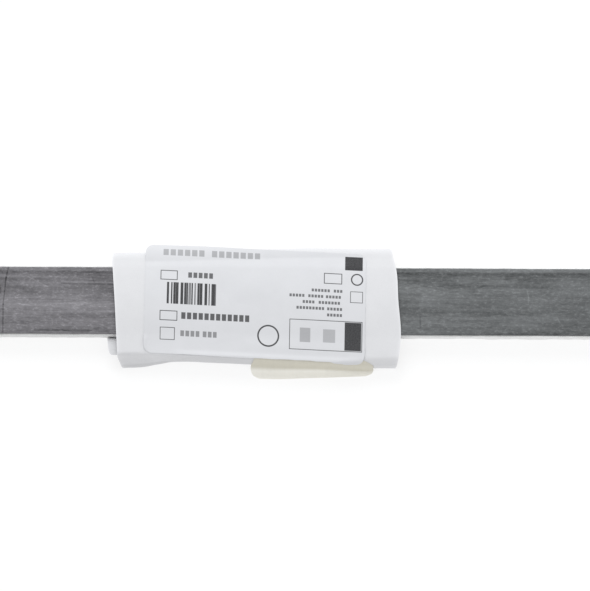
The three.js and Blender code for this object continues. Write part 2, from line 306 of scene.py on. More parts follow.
def rounded_sections(corners, count, smoothing):
    """Sections through corner points, evenly spaced along their length, with round corners.
    The corners are an array of section, corner and y, z."""
    steps = np.linalg.norm(np.diff(corners, axis=1), axis=2)
    way = np.concatenate([np.zeros((len(corners), 1)), np.cumsum(steps, axis=1)], axis=1)
    share = np.linspace(0, 1, count)
    even = np.empty((len(corners), count, 2))
    for section, points in enumerate(corners):
        places = share * way[section, -1]
        for axis in range(2):
            even[section, :, axis] = np.interp(places, way[section], points[:, axis])
    step = way[:, -1].mean() / (count - 1)
    reach = max(int(3 * smoothing / step), 1)
    weights = np.exp(-0.5 * (np.arange(-reach, reach + 1) * step / smoothing) ** 2)
    weights /= weights.sum()
    before = 2 * even[:, :1] - even[:, reach:0:-1]
    after = 2 * even[:, -1:] - even[:, -2:-reach - 2:-1]
    padded = np.concatenate([before, even, after], axis=1)
    return sum(weight * padded[:, k:k + count] for k, weight in enumerate(weights))


def sleeve_sections():
    """The sleeve's section at even stations: y and z along the sheet from its first edge,
    and the way over the paper from the strip's middle line"""
    stations = np.linspace(*SLEEVE_REACH, SLEEVE_STATIONS)
    top_y = reading(TOP_FOLD, stations)[0]
    crease_y, crease_z, knee_y, knee_z, belly_y, belly_z = reading(BOTTOM_FOLD, stations)
    front_z = METAL_TOP + PAPER_GAP + PAPER_WALL / 2
    outer_z = SURFACE_GAP + PAPER_WALL / 2
    bend_y = top_y - TOP_BEND_REACH
    points = [(np.full_like(stations, y), np.full_like(stations, z)) for y, z in INNER_CURL]
    bend_z = front_z - FRONT_FALL * (bend_y - METAL_HIGH[1])
    for angle in np.linspace(-math.pi / 2, math.pi / 2, TOP_BEND_POINTS):
        half = (bend_z - INNER_LAYER_Z) / 2
        z = INNER_LAYER_Z + half * (1 + math.sin(angle))
        points.append((bend_y + TOP_BEND_REACH * math.cos(angle), z))
    for share in np.linspace(1, -1, FRONT_POINTS):
        y = METAL_HIGH[1] * share
        z = front_z + FRONT_CROWN * (1 - share**2)
        points.append((np.full_like(stations, y), np.full_like(stations, z)))
    points.append((crease_y, crease_z))
    dent = FACE_DENT * smoothstep(stations, *FACE_DENT_REACH)
    dent_y = crease_y + (knee_y - crease_y) * FACE_DENT_PLACE
    dent_z = crease_z + (knee_z - crease_z) * FACE_DENT_PLACE - dent
    points.append((dent_y, dent_z))
    points.append((knee_y, knee_z))
    points.append((belly_y, belly_z))
    points.append((belly_y + FOOT_REACH, np.full_like(stations, outer_z)))
    points.append((np.full_like(stations, OUTER_EDGE_Y), np.full_like(stations, outer_z)))
    corners = np.stack([np.stack(point, -1) for point in points], axis=1)
    sections = rounded_sections(corners, SECTION_POINTS, SECTION_SMOOTHING)
    steps = np.linalg.norm(np.diff(sections, axis=1), axis=2)
    way = np.concatenate([np.zeros((len(stations), 1)), np.cumsum(steps, axis=1)], axis=1)
    middle = np.empty(len(stations))
    for station, section in enumerate(sections):
        limits = [way[station, -1] * share for share in FRONT_SHARES]
        front = slice(*np.searchsorted(way[station], limits))
        middle[station] = np.interp(0, section[front, 0][::-1], way[station, front][::-1])
    return stations, sections, middle[:, None] - way


def on_sleeve(x, across):
    """The point y, z of the sleeve's middle surface at a place along the strip and a way
    over the paper from the strip's middle line, positive towards +Y"""
    place = (x - STATIONS[0]) / (STATIONS[1] - STATIONS[0])
    low = np.clip(np.floor(place).astype(int), 0, len(STATIONS) - 2)
    share = place - low
    count = SECTION_POINTS - 1
    found = 0
    for station, weight in ((low, 1 - share), (low + 1, share)):
        start = WAYS[station, 0]
        index = np.clip((start - across) / (start - WAYS[station, -1]) * count, 0, count)
        row = np.clip(np.floor(index).astype(int), 0, count - 1)
        part = (index - row)[..., None]
        point = SECTIONS[station, row] * (1 - part) + SECTIONS[station, row + 1] * part
        found = found + weight[..., None] * point
    return found


def sheet_normals(grid):
    """Unit normals of a sheet, which point away from its outer side"""
    down = np.gradient(grid, axis=0)
    across = np.gradient(grid, axis=1)
    normals = np.cross(across, down)
    return normals / np.linalg.norm(normals, axis=2, keepdims=True)


def sheet_mesh(grid, wall):
    """Points and faces of a closed thin sheet round a grid of points on its middle surface"""
    rows, columns = grid.shape[:2]
    normals = sheet_normals(grid)
    points = np.concatenate([grid + normals * wall / 2, grid - normals * wall / 2])
    first = np.arange(rows * columns).reshape(rows, columns)
    second = first + rows * columns
    faces = [grid_faces(first), grid_faces(second)[:, ::-1]]
    for edge, other, flip in (
        (first[:, 0], second[:, 0], False),
        (first[:, -1], second[:, -1], True),
        (first[0], second[0], True),
        (first[-1], second[-1], False),
    ):
        rim = np.stack([edge[:-1], edge[1:], other[1:], other[:-1]], -1)
        faces.append(rim[:, ::-1] if flip else rim)
    return points.reshape(-1, 3), np.concatenate(faces)


def add_piece(name, points, faces, material, node, slot):
    """A piece of points in millimetres, which takes the place of a node of the solid model"""
    mesh = bpy.data.meshes.new(name)
    mesh.from_pydata((points * MM).tolist(), [], faces.tolist())
    mesh.shade_smooth()
    mesh.set_sharp_from_angle(angle=SHARP_ANGLE)
    mesh.materials.append(material)
    piece = bpy.data.objects.new(name, mesh)
    bpy.context.scene.collection.objects.link(piece)
    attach(piece, "root")
    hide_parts(node)
    return piece


def add_values(piece, name, values):
    """Keeps a number or vector for each point of a sheet, both sides alike, for its material"""
    both = np.concatenate([values, values]).astype(np.float32)
    kind = "FLOAT" if values.ndim == 2 else "FLOAT_VECTOR"
    attribute = piece.data.attributes.new(name, kind, "POINT")
    attribute.data.foreach_set("value" if values.ndim == 2 else "vector", both.ravel())


class Graph:
    """A material's nodes, with a short call for each kind"""

    def __init__(self, name, roughness, metallic=0.0, specular=0.5):
        self.material = bpy.data.materials.new(name)
        self.material.use_nodes = True
        self.tree = self.material.node_tree
        self.shader = self.tree.nodes["Principled BSDF"]
        self.shader.inputs["Roughness"].default_value = roughness
        self.shader.inputs["Metallic"].default_value = metallic
        self.shader.inputs["Specular IOR Level"].default_value = specular

    def feed(self, socket, value):
        if isinstance(value, bpy.types.NodeSocket):
            self.tree.links.new(value, socket)
        else:
            socket.default_value = value

    def set(self, name, value):
        self.feed(self.shader.inputs[name], value)

    def place(self):
        """The point in millimetres"""
        coordinates = self.tree.nodes.new("ShaderNodeTexCoord").outputs["Object"]
        return self.stretch(coordinates, (1 / MM, 1 / MM, 1 / MM))

    def attribute(self, name, output):
        node = self.tree.nodes.new("ShaderNodeAttribute")
        node.attribute_name = name
        return node.outputs[output]

    def stretch(self, vector, factors):
        return self.vector("MULTIPLY", vector, factors)

    def vector(self, operation, *values):
        node = self.tree.nodes.new("ShaderNodeVectorMath")
        node.operation = operation
        for socket, value in zip(node.inputs, values):
            self.feed(socket, value)
        return node.outputs["Value" if operation in ("LENGTH", "DOT_PRODUCT") else "Vector"]

    def parts(self, vector):
        node = self.tree.nodes.new("ShaderNodeSeparateXYZ")
        self.feed(node.inputs[0], vector)
        return node.outputs

    def math(self, operation, *values):
        node = self.tree.nodes.new("ShaderNodeMath")
        node.operation = operation
        for socket, value in zip(node.inputs, values):
            self.feed(socket, value)
        return node.outputs[0]

    def scaled(self, value, factor, offset=0.0):
        return self.math("MULTIPLY_ADD", value, factor, offset)

    def range(self, value, low, high, to_low=0.0, to_high=1.0):
        """value's place from low to high, smoothly, as a number from to_low to to_high"""
        node = self.tree.nodes.new("ShaderNodeMapRange")
        node.interpolation_type = "SMOOTHSTEP"
        settings = (value, low, high, to_low, to_high)
        for name, setting in zip(("Value", "From Min", "From Max", "To Min", "To Max"), settings):
            self.feed(node.inputs[name], setting)
        return node.outputs[0]

    def noise(self, vector, scale, detail=2.0, roughness=0.5, distortion=0.0):
        node = self.tree.nodes.new("ShaderNodeTexNoise")
        for name, value in (
            ("Vector", vector),
            ("Scale", scale),
            ("Detail", detail),
            ("Roughness", roughness),
            ("Distortion", distortion),
        ):
            self.feed(node.inputs[name], value)
        return node.outputs["Fac"]

    def cells(self, vector, scale):
        node = self.tree.nodes.new("ShaderNodeTexVoronoi")
        self.feed(node.inputs["Vector"], vector)
        self.feed(node.inputs["Scale"], scale)
        return node.outputs["Distance"]

    def mix(self, share, low, high):
        node = self.tree.nodes.new("ShaderNodeMix")
        node.data_type = "RGBA"
        self.feed(node.inputs[0], share)
        self.feed(node.inputs[6], low)
        self.feed(node.inputs[7], high)
        return node.outputs[2]

    def tint(self, colour, factor):
        """colour times a number"""
        return self.stretch(colour, factor)

    def bump(self, height, distance):
        """A bump for heights of 0 to 1 that stand this many millimetres high"""
        node = self.tree.nodes.new("ShaderNodeBump")
        self.feed(node.inputs["Height"], height)
        self.feed(node.inputs["Distance"], distance * MM)
        return node.outputs[0]

    def total(self, *values):
        result = values[0]
        for value in values[1:]:
            result = self.math("ADD", result, value)
        return result

    def product(self, *values):
        result = values[0]
        for value in values[1:]:
            result = self.math("MULTIPLY", result, value)
        return result


# Scratches on the metal's face, and long soft bands along it that are painted highlight and painted
# shade: both ends as x and y, half width, softness and how much lighter or darker it is there
SCRATCHES_AND_SHADE_BANDS = [
    (-103.8, 12.4, -104.7, 8.3, 0.1, 0.3, -0.34),
    (-104.7, 8.3, -105.6, -1.6, 0.1, 0.3, -0.44),
    (-105.6, -1.6, -105.6, -12.4, 0.12, 0.3, -0.36),
    (-107.2, 5.0, -106.9, 2.8, 0.25, 0.6, -0.4),
    (-96.7, 8.6, -89.8, 5.0, 0.08, 0.25, 0.22),
    (-84.5, 6.9, -64.0, 6.6, 0.16, 0.3, 0.2),
    (-84.5, 6.1, -64.0, 5.9, 0.14, 0.3, -0.2),
    (-94.0, -11.0, -73.5, -11.1, 0.12, 0.35, -0.25),
    (-90.5, -5.6, -64.0, -5.7, 0.5, 0.7, -0.13),
    (-79.0, -2.3, -62.0, -2.4, 0.9, 1.3, 0.1),
    (-73.8, 8.9, -72.7, 6.6, 0.1, 0.25, -0.2),
    (-87.9, -6.9, -87.6, -8.9, 0.08, 0.2, 0.2),
    (-86.4, -6.9, -86.1, -8.7, 0.08, 0.2, 0.18),
    (-140.0, 3.0, -128.5, -1.5, 0.08, 0.25, 0.2),
    (-171.0, -7.5, -150.0, -7.1, 0.12, 0.3, -0.22),
    (47.0, 5.7, 96.0, 5.3, 0.3, 0.7, -0.13),
    (84.1, 3.9, 84.6, 1.6, 0.1, 0.25, 0.3),
    (84.6, 1.6, 84.4, -0.9, 0.1, 0.25, 0.25),
    (45.3, -5.8, 45.4, -9.4, 0.12, 0.3, -0.28),
    (94.9, -5.8, 95.9, -7.6, 0.12, 0.25, 0.28),
    (57.0, -1.0, 63.0, -1.2, 0.2, 0.5, -0.14),
    (128.0, 8.0, 131.0, 3.0, 0.1, 0.25, 0.2),
    (160.0, -3.2, 189.0, -2.8, 0.14, 0.3, -0.22),
    (48.0, 0.4, 224.0, 0.4, 2.0, 2.6, 0.13),
    (38.0, 3.0, 56.0, 1.0, 2.5, 4.0, 0.14),
    (60.0, -6.0, 224.0, -6.0, 1.0, 2.0, -0.08),
    (82.0, 6.3, 224.0, 6.3, 0.8, 2.2, -0.09),
]


def scratch_and_shade_tone(graph, place, scratch_and_shade_marks):
    """How much lighter or darker each point is made by the scratch marks and the painted shade
    bands
    """
    tones = []
    flat = graph.stretch(place, (1, 1, 0))
    for x0, y0, x1, y1, half, soft, tone in scratch_and_shade_marks:
        start = Vector((x0, y0, 0))
        along = Vector((x1, y1, 0)) - start
        from_start = graph.vector("SUBTRACT", flat, start)
        dot = graph.vector("DOT_PRODUCT", from_start, along / along.length_squared)
        share = graph.math("MINIMUM", graph.math("MAXIMUM", dot, 0.0), 1.0)
        nearest = graph.vector("SCALE", along)
        graph.feed(nearest.node.inputs["Scale"], share)
        distance = graph.vector("LENGTH", graph.vector("SUBTRACT", from_start, nearest))
        tones.append(graph.range(distance, half, half + soft, tone, 0.0))
    return graph.total(*tones)


def metal_material():
    """Soft aluminium, dull from handling, with rolling streaks and scratches along it, and painted
    light and shade: a lighter left end, a highlight and shade lines along its edges and long light
    and dark bands on its face
    """
    graph = Graph("rolled_aluminium", roughness=0.5, metallic=1.0)
    place = graph.place()
    x, y, _ = graph.parts(place)
    fine = graph.noise(graph.stretch(place, (0.09, 3.2, 1)), 1.0, 3, 0.6)
    middle = graph.noise(graph.stretch(place, (0.03, 0.9, 1)), 1.0, 3, 0.6)
    broad = graph.noise(graph.stretch(place, (0.008, 0.22, 1)), 1.0, 1)
    cloud = graph.noise(graph.stretch(place, (0.06, 0.16, 1)), 1.0, 3, 0.6)
    warped = graph.noise(graph.stretch(place, (0.07, 0.42, 1)), 1.0, 2, 0.5, 0.6)
    grain = graph.math("SINE", graph.scaled(warped, 46.0))
    grain_share = graph.noise(graph.stretch(place, (0.018, 0.16, 1)), 1.0, 1)
    grain = graph.product(grain, graph.range(grain_share, 0.42, 0.6))
    fleck = graph.noise(graph.stretch(place, (0.7, 1.4, 1)), 1.0, 3, 0.7)
    light_fleck = graph.range(fleck, 0.54, 0.72)
    tone = graph.total(
        graph.scaled(fine, 0.34, -0.17),
        graph.scaled(middle, 0.55, -0.275),
        graph.scaled(broad, 0.9, -0.45),
        graph.scaled(cloud, 0.9, -0.45),
        graph.scaled(grain, 0.09),
        graph.scaled(fleck, 0.95, -0.475),
        graph.scaled(light_fleck, 0.28),
    )
    # Painted highlight along the metal's +Y edge, a painted shade line just inside it and painted
    # shade along its -Y edge
    painted_edge_highlight = graph.range(y, 10.6, 11.3, 0.0, 0.24)
    painted_edge_shade_line = graph.product(graph.range(y, 8.8, 10.2), graph.range(y, 10.4, 11.0, 1.0, 0.0))
    painted_low_edge_shade = graph.range(y, -11.6, -10.6, -0.1, 0.0)
    tone = graph.total(
        tone,
        painted_edge_highlight,
        graph.scaled(painted_edge_shade_line, -0.2),
        painted_low_edge_shade,
        # scratches, and long bands painted as highlight and shade along the face
        scratch_and_shade_tone(graph, place, SCRATCHES_AND_SHADE_BANDS),
        1.0,
    )
    # Painted light: the metal is painted lighter towards its left end
    side = graph.range(x, *SIDE_CHANGE)
    colour = graph.mix(side, METAL_LEFT_PAINTED_LIGHTER, METAL_RIGHT_PAINTED_DARKER)
    graph.set("Base Color", graph.tint(colour, tone))
    graph.set("Roughness", graph.range(graph.total(fine, cloud), 0.6, 1.4, 0.42, 0.62))
    relief = graph.total(fine, middle, graph.scaled(grain, 0.05))
    graph.set("Normal", graph.bump(relief, 0.03))
    return graph.material


def foam_material():
    """Closed-cell foam, cut along its sides, with painted light making it lighter towards its right
    end
    """
    graph = Graph("cut_foam", roughness=0.95, specular=0.2)
    place = graph.place()
    pores = graph.cells(place, 2.6)
    small = graph.cells(place, 5.5)
    cloud = graph.noise(graph.stretch(place, (0.08, 0.3, 0.5)), 1.0, 2)
    depth = graph.total(graph.scaled(pores, 0.7), graph.scaled(small, 0.5))
    x, _, _ = graph.parts(place)
    # Painted light: the foam is painted lighter towards its right end
    painted_light_right = graph.range(x, *SIDE_CHANGE, 0.0, FOAM_RIGHT_PAINTED_LIGHT)
    tone = graph.total(graph.scaled(depth, -0.22), graph.scaled(cloud, 0.12), painted_light_right, 1.06)
    graph.set("Base Color", graph.tint(FOAM_COLOUR, tone))
    graph.set("Normal", graph.bump(depth, 0.18))
    return graph.material


def paper_graph(name, roughness, fibre_height, specular=0.3):
    """What the three papers share: fine fibres and a faint cloud in height and tone"""
    graph = Graph(name, roughness=roughness, specular=specular)
    place = graph.place()
    fibres = graph.noise(place, 2.4, 4, 0.65, 0.5)
    cloud = graph.noise(place, 0.22, 2, 0.5)
    graph.set("Normal", graph.bump(graph.total(fibres, graph.scaled(cloud, 1.2)), fibre_height))
    tone = graph.total(graph.scaled(fibres, 0.05), graph.scaled(cloud, 0.05), 0.95)
    return graph, place, tone


def sleeve_material():
    """White paper, with a painted highlight along its cut ends, painted shade on its lower fold and
    a painted shadow along that fold's low edge at its left end
    """
    graph, place, tone = paper_graph("white_paper", 0.82, 0.05)
    rim = graph.attribute("rim", "Fac")
    x, y, z = graph.parts(place)
    # Painted shade: the paper is painted greyer where the lower fold turns away from the light
    fold = graph.product(
        graph.range(y, -19.8, -19.3, 1.0, 0.0),
        graph.range(z, 6.4, 7.4, 1.0, 0.0),
        graph.range(x, -52.0, -40.0, -0.01, -0.085),
        graph.range(x, 0.0, 20.0, 1.0, 0.0),
    )
    # Painted shadow: darker low down along the lower fold's edge near the sheet's left end
    foot = graph.product(
        graph.range(z, 3.0, 4.0, -0.13, 0.0),
        graph.range(x, -64.0, -60.0),
        graph.range(x, -48.0, -42.0, 1.0, 0.0),
        graph.range(y, -21.0, -20.0, 1.0, 0.0),
    )
    # Painted highlight along the cut ends, painted shade on the lower fold and painted shadow at
    # its lower edge
    tone = graph.total(tone, graph.scaled(rim, RIM_HIGHLIGHT_GAIN), fold, foot)
    graph.set("Base Color", graph.tint(SLEEVE_COLOUR, tone))
    return graph.material


def cream_material():
    """Cream paper, with painted shade on the part that bends down over the fold and painted light
    on the part that lies out beyond it
    """
    graph, place, tone = paper_graph("cream_paper", 0.85, 0.06)
    x, _, _ = graph.parts(place)
    streaks = graph.noise(graph.stretch(place, (0.9, 0.12, 0.12)), 1.0, 2)
    tone = graph.total(tone, graph.scaled(streaks, 0.06, -0.03))
    # Where the painted shade gives way to the painted light, a little later towards the tab's right
    # end
    lag = graph.range(x, 4.0, 28.0, 0.0, 0.13)
    way = graph.math("SUBTRACT", graph.attribute("way", "Fac"), lag)
    colour = graph.mix(graph.range(way, 0.62, 0.84), TAB_PAINTED_SHADE_CREAM, TAB_PAINTED_LIGHT_CREAM)
    graph.set("Base Color", graph.tint(colour, tone))
    return graph.material


def box_mask(graph, u, v, left, low, right, high, soft=0.1):
    """1 inside a rectangle of the label, 0 outside it"""
    beside = graph.math("ABSOLUTE", graph.math("SUBTRACT", u, (left + right) / 2))
    above = graph.math("ABSOLUTE", graph.math("SUBTRACT", v, (low + high) / 2))
    half_width, half_height = (right - left) / 2, (high - low) / 2
    return graph.product(
        graph.range(beside, half_width - soft, half_width + soft, 1.0, 0.0),
        graph.range(above, half_height - soft, half_height + soft, 1.0, 0.0),
    )


def ring_mask(graph, u, v, middle_u, middle_v, radius, half_line):
    """1 on a ring of the label, 0 off it"""
    centre = graph.tree.nodes.new("ShaderNodeCombineXYZ")
    graph.feed(centre.inputs[0], graph.math("SUBTRACT", u, middle_u))
    graph.feed(centre.inputs[1], graph.math("SUBTRACT", v, middle_v))
    distance = graph.vector("LENGTH", centre.outputs[0])
    off = graph.math("ABSOLUTE", graph.math("SUBTRACT", distance, radius))
    return graph.range(off, half_line, half_line + RING_SOFT, 1.0, 0.0)


# Plain marks on the label in its own millimetres from its middle, u to the right and v up.
# Rows of small blocks: v, height, darkness and pitch of the blocks, then where each group of
# them starts in u and how many it has.
BLOCK_ROWS = [
    (17.3, 2.3, 0.42, 2.6, (-33.6, 6), (-16.0, 7)),
    (8.9, 2.0, 0.84, 1.9, (-24.4, 5)),
    (-6.0, 2.4, 0.88, 2.1, (-26.6, 12)),
    (-12.4, 2.1, 0.62, 1.85, (-26.8, 4), (-18.7, 3)),
    (5.6, 1.05, 0.8, 1.15, (20.4, 6), (28.4, 3)),
    (3.4, 1.05, 0.8, 1.15, (12.4, 5), (19.2, 5), (25.6, 5)),
    (1.2, 1.05, 0.8, 1.15, (17.2, 4), (23.0, 7)),
    (-1.0, 1.05, 0.8, 1.15, (15.0, 9), (26.1, 5)),
    (-3.2, 1.05, 0.8, 1.15, (26.1, 5)),
]
BLOCK_SHARE = 0.74  # of the pitch that a block fills

# Frames and solid blocks: left, low, right and high, then the line's width or the darkness
FRAMES = [
    (-34.4, 6.8, -28.2, 10.4, 0.28),
    (-34.4, -8.0, -28.0, -4.4, 0.28),
    (-34.2, -15.0, -28.8, -10.4, 0.24),
    (24.8, 8.2, 31.4, 12.2, 0.28),
    (34.4, 1.6, 39.0, 5.8, 0.22),
    (12.6, -16.2, 39.0, -5.2, 0.24),
]
SOLID_BLOCKS = [
    (32.4, 13.6, 38.8, 18.9, 1.0),
    (32.6, -15.8, 38.6, -5.6, 0.97),
    (16.4, -13.4, 20.2, -8.2, 0.4),
    (24.8, -13.2, 29.2, -8.4, 0.35),
]

# Rings: middle u and v, radius and half the line's width
RINGS = [
    (36.8, 10.2, 2.0, 0.16),
    (5.0, -11.8, 3.7, 0.2),
]

# A field of upright stripes: left, low, right and high
STRIPES = (-32.0, -1.9, -14.2, 6.0)
STRIPES_PER_MM = 1.15
STRIPES_DARK = 0.97
LINES_DARK = 0.95  # of the frames and rings
BLOCK_SOFT = 0.08
RING_SOFT = 0.16


def label_material():
    """Coated sticker paper with rows of blocks, frames, rings and stripes in dull black"""
    graph, place, tone = paper_graph("sticker_paper", 0.5, 0.018, specular=0.35)
    u, v, _ = graph.parts(graph.attribute("spot", "Vector"))
    marks = []
    for middle, height, dark, pitch, *groups in BLOCK_ROWS:
        for left, blocks in groups:
            right = left + pitch * (blocks - 1 + BLOCK_SHARE)
            row = box_mask(graph, u, v, left, middle - height / 2, right, middle + height / 2)
            way = graph.math("FRACT", graph.scaled(u, 1 / pitch, -left / pitch))
            off = graph.math("ABSOLUTE", graph.math("SUBTRACT", way, BLOCK_SHARE / 2))
            soft = BLOCK_SOFT / pitch
            gaps = (off, BLOCK_SHARE / 2 - soft, BLOCK_SHARE / 2 + soft, 1.0, 0.0)
            marks.append(graph.product(row, graph.range(*gaps), dark))
    for left, low, right, high, line in FRAMES:
        outer = box_mask(graph, u, v, left, low, right, high)
        inner = box_mask(graph, u, v, left + line, low + line, right - line, high - line)
        marks.append(graph.scaled(graph.math("SUBTRACT", outer, inner), LINES_DARK))
    for left, low, right, high, dark in SOLID_BLOCKS:
        marks.append(graph.scaled(box_mask(graph, u, v, left, low, right, high), dark))
    for middle_u, middle_v, radius, half_line in RINGS:
        ring = ring_mask(graph, u, v, middle_u, middle_v, radius, half_line)
        marks.append(graph.scaled(ring, LINES_DARK))
    along = graph.tree.nodes.new("ShaderNodeCombineXYZ")
    graph.feed(along.inputs[0], u)
    stripes = graph.range(graph.noise(along.outputs[0], STRIPES_PER_MM, 1), 0.45, 0.5)
    marks.append(graph.product(stripes, box_mask(graph, u, v, *STRIPES), STRIPES_DARK))
    ink = marks[0]
    for mark in marks[1:]:
        ink = graph.math("MAXIMUM", ink, mark)
    uneven = graph.noise(place, 3.0, 2)
    ink = graph.product(ink, graph.scaled(uneven, 0.16, 0.9))
    paper = graph.tint(LABEL_COLOUR, tone)
    graph.set("Base Color", graph.mix(ink, paper, INK))
    return graph.material


def bar_stations(half_length, corner, edge, step):
    """Places along a band with how far its outline is drawn in there, in plan and all round"""
    plan = corner - edge
    straight = np.arange(0, half_length - corner - step / 2, step)
    stations = [(place, 0.0, 0.0) for place in straight]
    for angle in np.linspace(0, math.pi / 2, BAND_CORNER_RINGS)[:-1]:
        place = half_length - corner + plan * math.sin(angle)
        stations.append((place, plan * (1 - math.cos(angle)), 0.0))
    for angle in np.linspace(0, math.pi / 2, BAND_EDGE_RINGS):
        place = half_length - edge + edge * math.sin(angle)
        stations.append((place, plan, edge * (1 - math.cos(angle))))
    return stations


def bar_ring(half_width, low, high, radius, across_count, side_count):
    """A rounded rectangle's y and z, from its +Y side over the top and back underneath"""
    middle = (low + high) / 2
    side = np.linspace(0, 1, side_count + 2)[1:-1]
    points = [(half_width, middle + (high - radius - middle) * share) for share in side]
    for angle in np.linspace(0, math.pi / 2, EDGE_POINTS):
        y = half_width - radius + radius * math.cos(angle)
        points.append((y, high - radius + radius * math.sin(angle)))
    top = np.linspace(half_width - radius, radius - half_width, across_count + 2)[1:-1]
    points += [(y, high) for y in top]
    points += [(-y, z) for y, z in points[: side_count + EDGE_POINTS][::-1]]
    upper = np.array(points)
    lower = upper[::-1] * (1, -1) + (0, 2 * middle)
    return np.concatenate([upper, lower])


def bar_mesh(low, high, corner, edge, step, across_count, side_count, relief):
    """Points and faces of a flat band with round corners in plan and soft edges. relief
    moves a point along x, y, z by the values that it returns for them."""
    half_length, half_width = high[0], high[1]
    right = bar_stations(half_length, corner, edge, step)
    half_height = (high[2] - low[2]) / 2
    end_plan, end_inset = right[-1][1:]
    for share in np.linspace(0, 1, END_RINGS + 1)[1:]:
        inset = end_inset + (half_height * END_INSET - end_inset) * share
        right.append((half_length, end_plan, inset))
    stations = [(-place, plan, inset) for place, plan, inset in right[:0:-1]] + right
    rings = []
    for place, plan, inset in stations:
        radius = max(edge - inset, LEAST_EDGE)
        ring = bar_ring(
            half_width - plan - inset,
            low[2] + inset,
            high[2] - inset,
            radius,
            across_count,
            side_count,
        )
        rings.append(np.column_stack([np.full(len(ring), place), ring]))
    points = np.array(rings)
    count = points.shape[1]
    points = points + relief(points)
    index = np.arange(points.shape[0] * count).reshape(-1, count)
    faces = grid_faces(np.column_stack([index, index[:, 0]]))
    start = np.arange(count // 2 - 1)
    cap = np.stack([start, start + 1, count - 2 - start, count - 1 - start], -1)
    first_cap = cap[:, ::-1]
    last_cap = cap + index[-1, 0]
    return points.reshape(-1, 3), np.concatenate([faces, first_cap, last_cap])


def metal_relief(points):
    """Slight waves of the metal, longer along the strip than across it"""
    x, y = points[..., 0], points[..., 1]
    dz = METAL_WAVE * (ripple(x, y * 2.5, 34, 3) + 0.5 * ripple(x * 0.4, y * 5, 9, 4))
    return np.stack([np.zeros_like(dz), np.zeros_like(dz), dz], -1)


def foam_relief(points):
    """Slight waves of the foam's cut sides, which fade out towards its middle"""
    x, y, z = points[..., 0], points[..., 1], points[..., 2]
    out = FOAM_WAVE * (ripple(x, z * 2, 17, 5) + 0.5 * ripple(x * 3, z * 4, 14, 6))
    share = np.abs(y) / FOAM_HIGH[1]
    dy = np.sign(y) * out * share**4
    return np.stack([np.zeros_like(dy), dy, np.zeros_like(dy)], -1)


def sleeve_grid():
    """The sleeve's middle surface, and how near each point is to its left or right edge"""
    share = np.linspace(0, 1, SLEEVE_ROWS)[:, None]
    middle = station_ways(LABEL_MIDDLE_X)
    across = middle[0] + (middle[1] - middle[0]) * share
    left, right = reading(SHEET_EDGES, across)
    x = left + (right - left) * np.linspace(0, 1, SLEEVE_COLUMNS)
    start, end = station_ways(x)
    across = start + (end - start) * share
    grid = np.dstack([x, on_sleeve(x, across)])
    edge = np.minimum(x - left, right - x)
    lift = MOUTH_FLARE * np.exp(-np.maximum(edge, 0) / MOUTH_FLARE_WIDTH)
    height = (paper_relief(x, across) + lift) * clear_share(across)
    grid = grid - sheet_normals(grid) * height[..., None]
    # Nearness to the cut ends, which the material turns into a painted highlight
    rim = np.exp(-np.maximum(edge, 0) / RIM_WIDTH)
    return grid, rim


def paper_relief(x, across):
    """How far the sleeve's front stands off its smooth form"""
    hills = sum(height * ripple(x, across, size, seed) for height, size, seed in SLEEVE_HILLS)
    return np.maximum(hills + SLEEVE_RISE, 0)


def station_ways(x):
    """The ways over the paper of the section's two ends at places along the strip"""
    return np.interp(x, STATIONS, WAYS[:, 0]), np.interp(x, STATIONS, WAYS[:, -1])


def clear_share(across):
    """1 where the sheet is free to ripple, 0 where it lies between others under the strip"""
    return smoothstep(across, *CLEAR_FROM) * smoothstep(across, *CLEAR_TO)


def label_lower_edge(x):
    """The way over the paper of the label's lower edge at places along the strip"""
    return LABEL_LOWER_Y - (x - LABEL_MIDDLE_X) * math.tan(LABEL_TURN)


